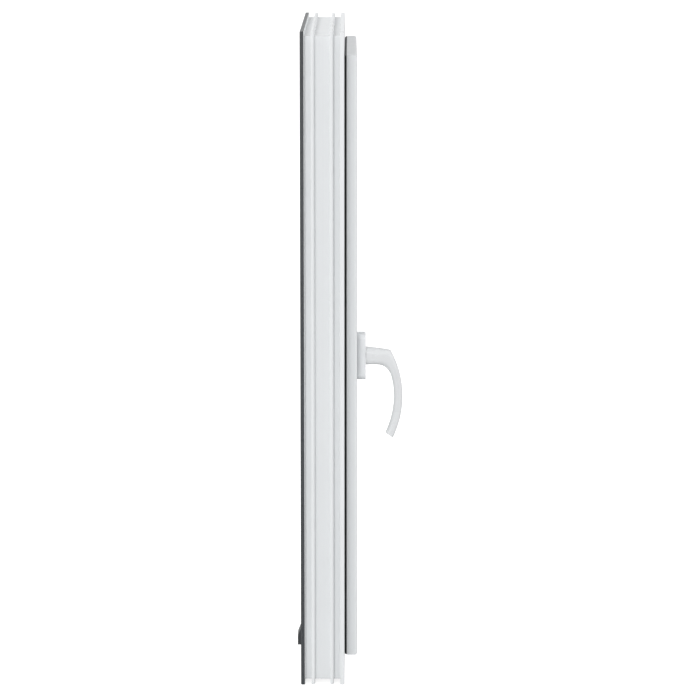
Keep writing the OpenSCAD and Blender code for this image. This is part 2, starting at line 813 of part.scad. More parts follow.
module gearbox_case() {
    color(zinc) difference() {
        case_shape(box_v, box_v + box_t - gearbox_wall);
        case_hollow();
    }
}

module gearbox_lid() {
    color(zinc) difference() {
        case_shape(box_v + box_t - gearbox_wall, box_v + box_t);
        case_hollow();
    }
}

// ---- handle ----

module at_axis(v) {
    translate([x_lock(axis_u), y_at(v), drive_z]) towards_room() children();
}

// Gear with one tooth pointing at the rod when the handle is closed
module pinion() {
    step = 360 / pinion_teeth;
    root_r = pitch_r - tooth_d;
    tip_r = pitch_r + tooth_a;
    color(zinc) difference() {
        union() {
            at_axis(groove_v - rod_w / 2) linear_extrude(rod_w) union() {
                circle(root_r);
                for (i = [0:pinion_teeth - 1]) rotate(180 + i * step) polygon([
                    [root_r - 1, -1.25], [root_r, -1.2], [pitch_r, -0.85], [tip_r, -0.45],
                    [tip_r, 0.45], [pitch_r, 0.85], [root_r, 1.2], [root_r - 1, 1.25]
                ]);
            }
            at_axis(box_v) cylinder(h = box_t, r = hub_r);
        }
        spindle_hole();
    }
}

module spindle_hole() {
    hole = spindle_w + 2 * run;
    at_axis(box_v - 1) translate([-hole / 2, -hole / 2, 0]) cube([hole, hole, seat_v + 33 - box_v + 1]);
}

module spindle() {
    color(zinc) at_axis(box_v + 1) translate([-spindle_w / 2, -spindle_w / 2, 0])
        cube([spindle_w, spindle_w, seat_v + 32.5 - box_v - 1]);
}

// Plate with round ends, standing on the sash at the handle axis
module rosette_shape(l, w, t, r) {
    at_axis(seat_v) {
        for (i = [-1, 1], j = [-1, 1]) translate([i * (w / 2 - r), j * (l / 2 - r), 0]) cylinder(h = t, r = r);
        translate([-w / 2, r - l / 2, 0]) cube([w, l - 2 * r, t]);
        translate([r - w / 2, -l / 2, 0]) cube([w - 2 * r, l, t]);
    }
}

module handle_screw_shape(grow) {
    for (end = [-1, 1]) at_axis(seat_v + base_t - 1) translate([0, end * screw_pitch / 2, 0])
        screw(seat_v + base_t - 1 - box_v - 1, 2.5, 4.6, 2.6, grow);
}

module rosette_base() {
    color(grey_plastic) difference() {
        union() {
            rosette_shape(rosette_l - 2 * cover_t - 1, rosette_w - 2 * cover_t - 1, base_t, 5);
            for (end = [-1, 1]) at_axis(seat_v - wall) translate([0, end * screw_pitch / 2, 0])
                cylinder(h = wall + 1, r = sleeve_r - slack);
        }
        at_axis(seat_v - wall - 1) cylinder(h = rosette_t + wall + 1, r = spigot_r + run);
        handle_screw_shape(snug);
        for (end = [-1, 1]) at_axis(seat_v + base_t - 1) translate([0, end * screw_pitch / 2, -eps])
            cylinder(h = 2, r = 4.6 + snug);
    }
}

module rosette_screws() { color(zinc) handle_screw_shape(0); }

module rosette_cover() {
    color(white) difference() {
        rosette_shape(rosette_l, rosette_w, rosette_t, 7);
        rosette_shape(rosette_l - 2 * cover_t, rosette_w - 2 * cover_t, rosette_t - cover_t, 7 - cover_t);
        at_axis(seat_v) cylinder(h = rosette_t + 1, r = neck_d / 2 - 2);
    }
}

// Side outline of the lever as [out from the sash, up from the axis]
module lever_outline() {
    bend_x = lever_out - grip_r;
    neck_r = neck_d / 2;
    root_x = rosette_t + 4;
    inner_x = lever_out - grip_t - 3.4;
    fillet_r = 16;
    under_y = 0.6 - neck_r;
    shoulder_y = -9;
    difference() {
        union() {
            // grip: a band between two arcs about one centre
            difference() {
                translate([bend_x, -grip_mid]) circle(grip_r, $fn = 180);
                translate([bend_x, -grip_mid]) circle(grip_r - grip_t, $fn = 180);
                translate([-500, -500]) square([500 + root_x, 1000]);
                translate([0, shoulder_y]) square([500, 500]);
            }
            // shoulder that joins the neck to the grip
            polygon([
                [root_x, neck_r - 1.5], [lever_out - 20, neck_r - 5], [lever_out - 17, neck_r - 6.2],
                [lever_out - 9.1, shoulder_y], [lever_out - 9.1, under_y - fillet_r],
                [root_x, under_y - fillet_r]
            ]);
        }
        // hollow under the neck, with a round corner at the grip
        translate([inner_x - fillet_r, under_y - fillet_r]) circle(fillet_r);
        translate([0, under_y - fillet_r]) square([inner_x - fillet_r, fillet_r]);
        translate([0, under_y - fillet_r - 1]) square([inner_x, 1.5]);
        // slanting cut at the tip
        translate([lever_out - 13.1, -lever_l]) rotate(-34) translate([-60, -60]) square([120, 60]);
    }
}

module handle_lever() {
    color(white) difference() {
        union() {
            translate([x_lock(axis_u) - grip_w / 2, y_at(seat_v), drive_z]) rotate([90, 0, -90]) mirror([0, 0, 1])
                linear_extrude(grip_w) lever_outline();
            at_axis(collar_v + slack) cylinder(h = 24, r = neck_d / 2);
            at_axis(seat_v + 1) cylinder(h = rosette_t + 1, r = spigot_r);
        }
        spindle_hole();
        translate([x_lock(axis_u), y_at(collar_v + 9), drive_z]) mirror([0, 0, 1])
            cylinder(h = neck_d, r = 2 + snug);
    }
}

// Screw under the neck that holds the lever on its spindle
module lever_grub_screw() {
    color(zinc) translate([x_lock(axis_u), y_at(collar_v + 9), drive_z - neck_d / 2 + 0.6]) difference() {
        cylinder(h = neck_d / 2 - 0.6 - spindle_w / 2, r = 2);
        translate([0, 0, -1]) cylinder(h = 3, r = 1, $fn = 6);
    }
}

frame_head();
frame_sill();
frame_lock_jamb();
frame_hinge_jamb();
frame_steel();
frame_skin();
frame_gasket();
drain_caps();
strikers();
striker_screws();
hinge_bracket_lower();
hinge_bracket_upper();
bracket_screws();
bracket_covers();
hinge_pins();
hinge_washers();
sash_top_rail();
sash_bottom_rail();
sash_lock_stile();
sash_hinge_stile();
sash_steel();
sash_skin();
sash_gasket();
pane_outdoor();
pane_indoor();
spacer_bar();
edge_sealant();
glazing_packers();
glazing_gasket_outdoor();
glazing_gasket_indoor();
bead_top();
bead_bottom();
bead_lock();
bead_hinge();
hinge_leaf_lower();
hinge_leaf_upper();
leaf_screws();
faceplate();
faceplate_screws();
gearbox_case();
gearbox_lid();
rosette_base();
rosette_cover();
rosette_screws();
drive_rod();
cams();
pinion();
spindle();
handle_lever();
lever_grub_screw();
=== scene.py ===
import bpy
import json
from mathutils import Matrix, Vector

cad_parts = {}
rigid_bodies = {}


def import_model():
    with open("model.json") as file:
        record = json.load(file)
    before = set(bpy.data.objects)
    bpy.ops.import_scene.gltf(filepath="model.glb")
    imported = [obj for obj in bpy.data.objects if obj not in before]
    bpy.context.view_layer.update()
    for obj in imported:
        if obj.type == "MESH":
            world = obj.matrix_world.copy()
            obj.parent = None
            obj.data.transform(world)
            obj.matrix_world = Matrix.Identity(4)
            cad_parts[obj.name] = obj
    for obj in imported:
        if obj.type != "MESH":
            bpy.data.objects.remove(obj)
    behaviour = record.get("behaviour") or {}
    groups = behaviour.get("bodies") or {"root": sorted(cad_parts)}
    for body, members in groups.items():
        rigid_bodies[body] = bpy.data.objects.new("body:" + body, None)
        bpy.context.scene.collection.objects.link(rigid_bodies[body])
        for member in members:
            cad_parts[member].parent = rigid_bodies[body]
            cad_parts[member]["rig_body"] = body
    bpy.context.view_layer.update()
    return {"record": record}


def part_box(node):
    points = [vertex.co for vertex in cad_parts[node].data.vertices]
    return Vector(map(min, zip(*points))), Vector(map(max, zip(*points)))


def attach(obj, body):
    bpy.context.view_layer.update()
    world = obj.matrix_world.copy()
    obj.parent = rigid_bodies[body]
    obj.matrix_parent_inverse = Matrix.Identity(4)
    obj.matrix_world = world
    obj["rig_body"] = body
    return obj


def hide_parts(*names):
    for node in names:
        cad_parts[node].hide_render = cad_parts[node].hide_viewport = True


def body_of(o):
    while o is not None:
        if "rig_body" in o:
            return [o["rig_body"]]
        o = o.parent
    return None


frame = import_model()

import json
import math

import bpy
from mathutils import Vector


# ---- Camera, floor and light ----
# A plain studio: a wide pale floor under the sill, a soft overall light, and three broad lights,
# from the lock side, from above on the outdoor side, and from the room.

frame_low, frame_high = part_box("frame_lock_jamb")
outdoor_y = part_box("frame_skin")[1].y
head_z = frame_high.z
lock_x = frame_low.x

# The eye stands eye_out before the lock side, eye_up above the head and eye_in from the outdoor face.
eye_out, eye_up, eye_in = 4.0, 0.20948, 0.06766
look_down = math.radians(8.7)
camera_data = bpy.data.cameras.new("camera")
camera_data.lens = 153.29
camera_data.shift_y = -0.03
camera_data.sensor_width = 36
camera = bpy.data.objects.new("camera", camera_data)
bpy.context.scene.collection.objects.link(camera)
camera.location = (lock_x - eye_out, outdoor_y - eye_in, head_z + eye_up)
camera.rotation_euler = (math.pi / 2 - look_down, 0, -math.pi / 2)
bpy.context.scene.camera = camera
bpy.context.scene.view_settings.view_transform = "Standard"
bpy.context.scene.view_settings.look = "None"


def clear_selection():
    if bpy.context.object and bpy.context.object.mode != "OBJECT":
        bpy.ops.object.mode_set(mode="OBJECT")
    bpy.ops.object.select_all(action="DESELECT")


seen_through_glass = 0.5


def seen_directly(tree):
    """1 where a surface is looked at, less through glass, and 0 where it only gives light."""
    path = tree.nodes.new("ShaderNodeLightPath")
    seen = tree.nodes.new("ShaderNodeMath")
    seen.operation = "MULTIPLY_ADD"
    tree.links.new(path.outputs["Is Transmission Ray"], seen.inputs[0])
    seen.inputs[1].default_value = seen_through_glass
    tree.links.new(path.outputs["Is Camera Ray"], seen.inputs[2])
    return seen.outputs[0]


clear_selection()
floor_half = 30
bpy.ops.mesh.primitive_plane_add(size=2 * floor_half, location=(0, 0, 0))
floor = bpy.context.object
floor.name = "floor"
floor_material = bpy.data.materials.new("pale_floor")
floor_material.use_nodes = True
floor_shader = floor_material.node_tree.nodes["Principled BSDF"]
floor_shader.inputs["Base Color"].default_value = (0.46, 0.46, 0.46, 1)
floor_shader.inputs["Roughness"].default_value = 0.9
floor_shader.inputs["Specular IOR Level"].default_value = 0.0
floor_shader.inputs["Emission Color"].default_value = (1, 1, 1, 1)
floor_seen = seen_directly(floor_material.node_tree)
floor_glow = floor_material.node_tree.nodes.new("ShaderNodeMapRange")
floor_glow.inputs["To Max"].default_value = 0.85
floor_material.node_tree.links.new(floor_seen, floor_glow.inputs["Value"])
floor_material.node_tree.links.new(floor_glow.outputs[0], floor_shader.inputs["Emission Strength"])
floor.data.materials.append(floor_material)

# The walls of the studio look fully white, and light the object less than that.
world = bpy.data.worlds.new("studio")
world.use_nodes = True
walls = world.node_tree.nodes["Background"]
walls.inputs["Color"].default_value = (0.99, 0.995, 1.0, 1)
walls_seen = seen_directly(world.node_tree)
wall_light = world.node_tree.nodes.new("ShaderNodeMapRange")
wall_light.inputs["To Min"].default_value = 0.70
wall_light.inputs["To Max"].default_value = 1.05
world.node_tree.links.new(walls_seen, wall_light.inputs["Value"])
world.node_tree.links.new(wall_light.outputs[0], walls.inputs["Strength"])
bpy.context.scene.world = world


def studio_sun(name, strength, spread, towards):
    """Broad distant light that shines along towards."""
    lamp = bpy.data.lights.new(name, "SUN")
    lamp.energy = strength
    lamp.angle = math.radians(spread)
    holder = bpy.data.objects.new(name, lamp)
    bpy.context.scene.collection.objects.link(holder)
    holder.rotation_euler = Vector(towards).to_track_quat("-Z", "Y").to_euler()


studio_sun("front", 1.22, 27, (1.0, -0.27, -0.25))
studio_sun("top", 1.45, 50, (0.05, -1.0, -1.0))
studio_sun("room_side", 0.85, 50, (0.12, 0.95, -0.4))


# ---- White profiles of the frame and the sash ----
# Hollow bars of white rigid plastic, extruded, cut at 45 degrees and welded at the corners.
# The face is satin, with faint die lines along the bar and fine scratches from handling.

MM = 0.001


# Grain, streaks and scuffs are node groups, built once, and each finish sets its own values.
def socket(group, name, kind, way, value=None):
    made = group.interface.new_socket(name, in_out=way, socket_type="NodeSocket" + kind)
    if value is not None:
        made.default_value = value


def new_group(name, inputs, outputs):
    """Empty group with named float inputs, a Vector input and float outputs."""
    group = bpy.data.node_groups.new(name, "ShaderNodeTree")
    socket(group, "Vector", "Vector", "INPUT")
    for label, value in inputs:
        socket(group, label, "Float", "INPUT", value)
    for label in outputs:
        socket(group, label, "Float", "OUTPUT")
    start = group.nodes.new("NodeGroupInput")
    end = group.nodes.new("NodeGroupOutput")
    return group, start, end


def noise(tree, vector, scale, detail=3.0, roughness=0.5):
    node = tree.nodes.new("ShaderNodeTexNoise")
    node.inputs["Detail"].default_value = detail
    node.inputs["Roughness"].default_value = roughness
    if isinstance(scale, (int, float)):
        node.inputs["Scale"].default_value = scale
    else:
        tree.links.new(scale, node.inputs["Scale"])
    tree.links.new(vector, node.inputs["Vector"])
    return node.outputs["Fac"]


def arithmetic(tree, operation, first, second=None, clamp=False):
    node = tree.nodes.new("ShaderNodeMath")
    node.operation = operation
    node.use_clamp = clamp
    for place, value in enumerate((first, second)):
        if value is None:
            continue
        if isinstance(value, (int, float)):
            node.inputs[place].default_value = value
        else:
            tree.links.new(value, node.inputs[place])
    return node.outputs[0]


def spread(tree, value, low_in, high_in, low_out, high_out):
    node = tree.nodes.new("ShaderNodeMapRange")
    for place, number in enumerate((low_in, high_in, low_out, high_out)):
        node.inputs[place + 1].default_value = number
    tree.links.new(value, node.inputs[0])
    return node.outputs[0]


def make_grain():
    """Fine surface grain for bump and a slow cloud for colour and gloss."""
    group, start, end = new_group("grain", [("Fine", 900.0), ("Slow", 5.0)], ["Height", "Cloud"])
    fine = noise(group, start.outputs["Vector"], start.outputs["Fine"], 2.0, 0.6)
    slow = noise(group, start.outputs["Vector"], start.outputs["Slow"], 4.0, 0.55)
    group.links.new(fine, end.inputs["Height"])
    group.links.new(spread(group, slow, 0.3, 0.7, 0.0, 1.0), end.inputs["Cloud"])
    return group


def make_streaks():
    """Fine lines along one direction, as left by an extrusion die or a roller."""
    group, start, end = new_group("streaks", [("Across", 700.0), ("Along", 1.5)], ["Height", "Mask"])
    split = group.nodes.new("ShaderNodeSeparateXYZ")
    join = group.nodes.new("ShaderNodeCombineXYZ")
    group.links.new(start.outputs["Vector"], split.inputs[0])
    for axis, pace in (("X", "Across"), ("Y", "Across"), ("Z", "Along")):
        scaled = arithmetic(group, "MULTIPLY", split.outputs[axis], start.outputs[pace])
        group.links.new(scaled, join.inputs[axis])
    lines = noise(group, join.outputs[0], 1.0, 2.0, 0.5)
    group.links.new(lines, end.inputs["Height"])
    group.links.new(spread(group, lines, 0.35, 0.65, 0.0, 1.0), end.inputs["Mask"])
    return group


def make_scuffs():
    """Sparse thin scratches and smudges from handling."""
    group, start, end = new_group("scuffs", [("Density", 0.5)], ["Mask", "Smudge"])
    warp = noise(group, start.outputs["Vector"], 14.0, 2.0)
    cells = group.nodes.new("ShaderNodeTexVoronoi")
    cells.feature = "DISTANCE_TO_EDGE"
    cells.inputs["Scale"].default_value = 38.0
    shift = group.nodes.new("ShaderNodeVectorMath")
    shift.operation = "MULTIPLY_ADD"
    shift.inputs[1].default_value = (1.0, 1.0, 0.35)
    group.links.new(start.outputs["Vector"], shift.inputs[0])
    group.links.new(warp, shift.inputs[2])
    group.links.new(shift.outputs[0], cells.inputs["Vector"])
    line = spread(group, cells.outputs["Distance"], 0.0, 0.012, 1.0, 0.0)
    where = noise(group, start.outputs["Vector"], 9.0, 2.0)
    limit = arithmetic(group, "SUBTRACT", 1.0, start.outputs["Density"])
    patchy = arithmetic(group, "GREATER_THAN", where, limit)
    group.links.new(arithmetic(group, "MULTIPLY", line, patchy), end.inputs["Mask"])
    smudge = spread(group, noise(group, start.outputs["Vector"], 22.0, 5.0, 0.65), 0.45, 0.75, 0.0, 1.0)
    group.links.new(smudge, end.inputs["Smudge"])
    return group


grain_group = make_grain()
streak_group = make_streaks()
scuff_group = make_scuffs()


def place_group(tree, group, vector, **values):
    node = tree.nodes.new("ShaderNodeGroup")
    node.node_tree = group
    tree.links.new(vector, node.inputs["Vector"])
    for label, value in values.items():
        node.inputs[label].default_value = value
    return node


def blend_colours(tree, factor, dark, light):
    mix = tree.nodes.new("ShaderNodeMix")
    mix.data_type = "RGBA"
    mix.inputs["A"].default_value = (*dark, 1)
    mix.inputs["B"].default_value = (*light, 1)
    tree.links.new(factor, mix.inputs["Factor"])
    return mix.outputs["Result"]


def start_finish(name, turn=(0, 0, 0)):
    """New material with its shader and its own coordinates, turned so that streaks run the right way."""
    material = bpy.data.materials.new(name)
    material.use_nodes = True
    tree = material.node_tree
    shader = tree.nodes["Principled BSDF"]
    where = tree.nodes.new("ShaderNodeTexCoord").outputs["Object"]
    if any(turn):
        mapping = tree.nodes.new("ShaderNodeMapping")
        mapping.inputs["Rotation"].default_value = turn
        tree.links.new(where, mapping.inputs["Vector"])
        where = mapping.outputs[0]
    return material, tree, shader, where


def add_bump(tree, shader, height, strength, distance):
    bump = tree.nodes.new("ShaderNodeBump")
    bump.inputs["Strength"].default_value = strength
    bump.inputs["Distance"].default_value = distance
    tree.links.new(height, bump.inputs["Height"])
    tree.links.new(bump.outputs[0], shader.inputs["Normal"])


merge_within = 0.002 * MM
flat_within = math.radians(0.5)


def copy_of(node, faces, edges=None):
    """Copy of a carried-over node, merged to whole faces, with a second finish for its edges, a lighter
    copy of the face finish that paints a highlight on them where one is given.
    """
    clear_selection()
    piece = bpy.data.objects[node].copy()
    piece.data = piece.data.copy()
    piece.parent = None
    piece.name = node + "_finished"
    bpy.context.scene.collection.objects.link(piece)
    piece.data.materials.clear()
    piece.data.materials.append(faces)
    piece.data.materials.append(edges or faces)
    piece.data.polygons.foreach_set("material_index", [0] * len(piece.data.polygons))
    bpy.context.view_layer.objects.active = piece
    piece.select_set(True)
    bpy.ops.object.mode_set(mode="EDIT")
    bpy.ops.mesh.select_all(action="SELECT")
    bpy.ops.mesh.remove_doubles(threshold=merge_within)
    bpy.ops.mesh.dissolve_limited(angle_limit=flat_within)
    bpy.ops.object.mode_set(mode="OBJECT")
    return piece


def finish_copy(piece, node, angle=30):
    """Smooths the rounded faces of a copy and puts it in the place of its node."""
    bpy.context.view_layer.objects.active = piece
    piece.select_set(True)
    bpy.ops.object.shade_smooth_by_angle(angle=math.radians(angle))
    flats = piece.modifiers.new("flats", "WEIGHTED_NORMAL")
    flats.keep_sharp = True
    bpy.ops.object.modifier_apply(modifier=flats.name)
    clear_selection()
    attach(piece, body_of(bpy.data.objects[node])[0])
    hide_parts(node)


def round_edges(piece, node, width, segments=2, angle=30):
    """Rounds the sharp edges of a copy to width and puts it in the place of its node."""
    bpy.context.view_layer.objects.active = piece
    piece.select_set(True)
    bevel = piece.modifiers.new("edges", "BEVEL")
    bevel.width = width
    bevel.segments = segments
    bevel.limit_method = "ANGLE"
    bevel.angle_limit = math.radians(angle)
    bevel.use_clamp_overlap = False
    # The rounds take the second finish, the painted edge highlight.
    bevel.material = 1
    bevel.miter_outer = "MITER_SHARP"
    bpy.ops.object.modifier_apply(modifier=bevel.name)
    finish_copy(piece, node, angle)


def soften(node, width, faces, edges=None, segments=2):
    round_edges(copy_of(node, faces, edges), node, width, segments)


def white_profile(name, turn, wear_and_edge_highlight):
    material, tree, shader, where = start_finish(name, turn)
    lines = place_group(tree, streak_group, where, Across=420.0, Along=1.2)
    cloud = place_group(tree, grain_group, where, Fine=1600.0, Slow=3.5)
    marks = place_group(tree, scuff_group, where, Density=0.42)
    tone = arithmetic(tree, "MULTIPLY", lines.outputs["Mask"], 0.35)
    tone = arithmetic(tree, "ADD", tone, arithmetic(tree, "MULTIPLY", cloud.outputs["Cloud"], 0.65))
    # With the flag set, the colours are lighter: a painted highlight for the rounded edges.
    light = (0.775, 0.788, 0.792) if wear_and_edge_highlight else (0.752, 0.768, 0.777)
    dark = (0.755, 0.768, 0.773) if wear_and_edge_highlight else (0.722, 0.738, 0.748)
    tree.links.new(blend_colours(tree, tone, dark, light), shader.inputs["Base Color"])
    gloss = spread(tree, marks.outputs["Smudge"], 0, 1, 0.30 if not wear_and_edge_highlight else 0.24, 0.42)
    gloss = arithmetic(tree, "ADD", gloss, arithmetic(tree, "MULTIPLY", marks.outputs["Mask"], 0.2))
    tree.links.new(gloss, shader.inputs["Roughness"])
    fine = arithmetic(tree, "MULTIPLY", cloud.outputs["Height"], 0.3)
    height = arithmetic(tree, "ADD", lines.outputs["Height"], fine)
    height = arithmetic(tree, "SUBTRACT", height, arithmetic(tree, "MULTIPLY", marks.outputs["Mask"], 0.5))
    add_bump(tree, shader, height, 0.25, 0.02 * MM)
    shader.inputs["IOR"].default_value = 1.5
    return material


level_turn = (0, math.pi / 2, 0)
upright_white = white_profile("white_profile_upright", (0, 0, 0), False)
# The edge copies are the same finish a little lighter, a painted highlight on the rounded edges.
upright_edge_highlight = white_profile("white_profile_upright_edge", (0, 0, 0), True)
level_white = white_profile("white_profile_level", level_turn, False)
level_edge_highlight = white_profile("white_profile_level_edge", level_turn, True)

profile_edge = 0.35 * MM
anchor_hole = 3.5 * MM


def close_anchor_holes(piece):
    """The wall anchors are drilled when the window is fitted, so a finished jamb has none open."""
    anchors = next(mount for mount in frame["record"]["mounts"] if mount["name"] == "lock_jamb_anchors")
    anchor_apart = anchors["dims"]["spacing_y_mm"] / 2 * MM
    bpy.context.view_layer.objects.active = piece
    piece.select_set(True)
    bpy.ops.object.mode_set(mode="EDIT")
    bpy.ops.mesh.select_mode(type="FACE")
    bpy.ops.mesh.select_all(action="DESELECT")
    bpy.ops.object.mode_set(mode="OBJECT")
    for polygon in piece.data.polygons:
        corners = [piece.data.vertices[index].co for index in polygon.vertices]
        polygon.select = any(
            all(math.hypot(co.y, co.z - head_z / 2 - side * anchor_apart) < anchor_hole for co in corners)
            for side in (-1, 1)
        )
    bpy.ops.object.mode_set(mode="EDIT")
    bpy.ops.mesh.delete(type="FACE")
    bpy.ops.mesh.select_all(action="SELECT")
    bpy.ops.mesh.fill_holes(sides=0)
    bpy.ops.mesh.select_all(action="SELECT")
    bpy.ops.mesh.dissolve_limited(angle_limit=flat_within)
    bpy.ops.object.mode_set(mode="OBJECT")


for node in ("frame_lock_jamb", "frame_hinge_jamb"):
    jamb = copy_of(node, upright_white, upright_edge_highlight)
    close_anchor_holes(jamb)
    round_edges(jamb, node, profile_edge)
for node in ("sash_lock_stile", "sash_hinge_stile", "bead_lock", "bead_hinge"):
    soften(node, profile_edge, upright_white, upright_edge_highlight)
for node in ("frame_head", "frame_sill", "sash_top_rail", "sash_bottom_rail", "bead_top", "bead_bottom"):
    soften(node, profile_edge, level_white, level_edge_highlight)


# ---- Dark outdoor skin ----
# Anthracite film laminated on the outdoor faces, embossed with a fine short grain and
# carried round the edges of the frame; the rounded edges are a little lighter, a painted highlight.


def dark_skin(name, dark, light):
    material, tree, shader, where = start_finish(name)
    emboss = place_group(tree, streak_group, where, Across=900.0, Along=160.0)
    cloud = place_group(tree, grain_group, where, Fine=2200.0, Slow=6.0)
    marks = place_group(tree, scuff_group, where, Density=0.5)
    tone = arithmetic(tree, "MULTIPLY", cloud.outputs["Cloud"], 0.6)
    # Here the scuff mask lightens the film in places: wear.
    wear_and_edge_highlight = arithmetic(tree, "MULTIPLY", marks.outputs["Mask"], 0.5)
    tone = arithmetic(tree, "ADD", tone, wear_and_edge_highlight, clamp=True)
    tree.links.new(blend_colours(tree, tone, dark, light), shader.inputs["Base Color"])
    gloss = spread(tree, emboss.outputs["Mask"], 0, 1, 0.26, 0.42)
    tree.links.new(gloss, shader.inputs["Roughness"])
    add_bump(tree, shader, emboss.outputs["Height"], 0.45, 0.05 * MM)
    return material


skin_face = dark_skin("dark_skin", (0.034, 0.038, 0.043), (0.058, 0.063, 0.069))
skin_edge_highlight = dark_skin("dark_skin_edge", (0.044, 0.048, 0.053), (0.070, 0.075, 0.081))
for node in ("frame_skin", "sash_skin"):
    skin = copy_of(node, skin_face, skin_edge_highlight)
    # Faces that don't lie square to an axis are the rounded edges; they take the lighter copy, a painted
    # highlight.
    for polygon in skin.data.polygons:
        polygon.material_index = int(max(abs(part) for part in polygon.normal) < 0.999)
    finish_copy(skin, node)


# ---- Glass unit ----
# Two float glass panes with a hollow aluminium spacer between them, sealed outside it with a
# dark sealant, resting on grey plastic packers.


def clear_glass():
    material, tree, shader, where = start_finish("clear_glass")
    shader.inputs["Base Color"].default_value = (0.965, 0.99, 0.984, 1)
    shader.inputs["Transmission Weight"].default_value = 1.0
    shader.inputs["IOR"].default_value = 1.5
    haze = place_group(tree, grain_group, where, Fine=60.0, Slow=9.0)
    tree.links.new(spread(tree, haze.outputs["Cloud"], 0, 1, 0.0, 0.02), shader.inputs["Roughness"])
    add_bump(tree, shader, noise(tree, where, 4.0, 1.0), 0.02, 0.4 * MM)
    lets_through = tree.nodes.new("ShaderNodeBsdfTransparent")
    lets_through.inputs["Color"].default_value = (0.93, 0.97, 0.96, 1)
    path = tree.nodes.new("ShaderNodeLightPath")
    mix = tree.nodes.new("ShaderNodeMixShader")
    tree.links.new(path.outputs["Is Shadow Ray"], mix.inputs[0])
    tree.links.new(shader.outputs[0], mix.inputs[1])
    tree.links.new(lets_through.outputs[0], mix.inputs[2])
    tree.links.new(mix.outputs[0], tree.nodes["Material Output"].inputs["Surface"])
    return material


def dress(node, material):
    """Gives a carried-over node its finish."""
    slots = bpy.data.objects[node].data.materials
    slots.clear()
    slots.append(material)


glass_finish = clear_glass()
for node in ("pane_outdoor", "pane_indoor"):
    dress(node, glass_finish)


def plain_metal(name, dark, light, smooth, rough, lines):
    """Bare or plated metal: roller lines, a slow cloud and small scratches."""
    material, tree, shader, where = start_finish(name)
    brushed = place_group(tree, streak_group, where, Across=lines, Along=6.0)
    cloud = place_group(tree, grain_group, where, Fine=1300.0, Slow=24.0)
    marks = place_group(tree, scuff_group, where, Density=0.55)
    tone = arithmetic(tree, "MULTIPLY", brushed.outputs["Mask"], 0.3)
    tone = arithmetic(tree, "ADD", tone, arithmetic(tree, "MULTIPLY", cloud.outputs["Cloud"], 0.7))
    tree.links.new(blend_colours(tree, tone, dark, light), shader.inputs["Base Color"])
    shader.inputs["Metallic"].default_value = 1.0
    gloss = spread(tree, cloud.outputs["Cloud"], 0, 1, smooth, rough)
    gloss = arithmetic(tree, "ADD", gloss, arithmetic(tree, "MULTIPLY", marks.outputs["Mask"], 0.15))
    tree.links.new(gloss, shader.inputs["Roughness"])
    add_bump(tree, shader, brushed.outputs["Height"], 0.3, 0.03 * MM)
    return material


spacer_finish = plain_metal("spacer_aluminium", (0.55, 0.56, 0.57), (0.74, 0.75, 0.76), 0.32, 0.45, 600.0)
dress("spacer_bar", spacer_finish)


def moulded(name, dark, light, smooth, rough, fine=1800.0, bump=0.2):
    """Moulded plastic or rubber: eroded mould texture with a slow cloud and smudges."""
    material, tree, shader, where = start_finish(name)
    texture = place_group(tree, grain_group, where, Fine=fine, Slow=30.0)
    marks = place_group(tree, scuff_group, where, Density=0.45)
    tree.links.new(blend_colours(tree, texture.outputs["Cloud"], dark, light), shader.inputs["Base Color"])
    gloss = spread(tree, marks.outputs["Smudge"], 0, 1, smooth, rough)
    gloss = arithmetic(tree, "ADD", gloss, arithmetic(tree, "MULTIPLY", marks.outputs["Mask"], 0.12))
    tree.links.new(gloss, shader.inputs["Roughness"])
    add_bump(tree, shader, texture.outputs["Height"], bump, 0.06 * MM)
    return material


sealant_finish = moulded("sealant", (0.03, 0.03, 0.033), (0.05, 0.05, 0.055), 0.5, 0.7, 500.0, 0.5)
dress("edge_sealant", sealant_finish)
grey_plastic = moulded("grey_plastic", (0.20, 0.205, 0.21), (0.25, 0.255, 0.26), 0.42, 0.55)
for node in ("glazing_packers", "rosette_base", "hinge_washers"):
    dress(node, grey_plastic)


# ---- Rubber seals ----
# Black extruded sealing rubber, pushed into the grooves as closed rings with mitred corners.
# The seal under the overlap is the black line between the frame and the sash.

rubber = moulded(
    "seal_rubber", (0.004, 0.004, 0.0045), (0.010, 0.010, 0.0105), 0.52, 0.68, 2600.0, 0.35
)
centre_z = head_z / 2
half_w = -lock_x
back_fullness = 0.6


def half_round(u_start, u_end, v_foot, v_top, steps=8):
    """Section points of a seal: a flat foot and a round back that reaches v_top."""
    middle, half, lift = (u_start + u_end) / 2, (u_end - u_start) / 2, v_top - v_foot
    points = []
    for step in range(steps + 1):
        angle = math.pi * step / steps
        points.append((middle - half * math.cos(angle), v_foot + lift * math.sin(angle) ** back_fullness))
    return points


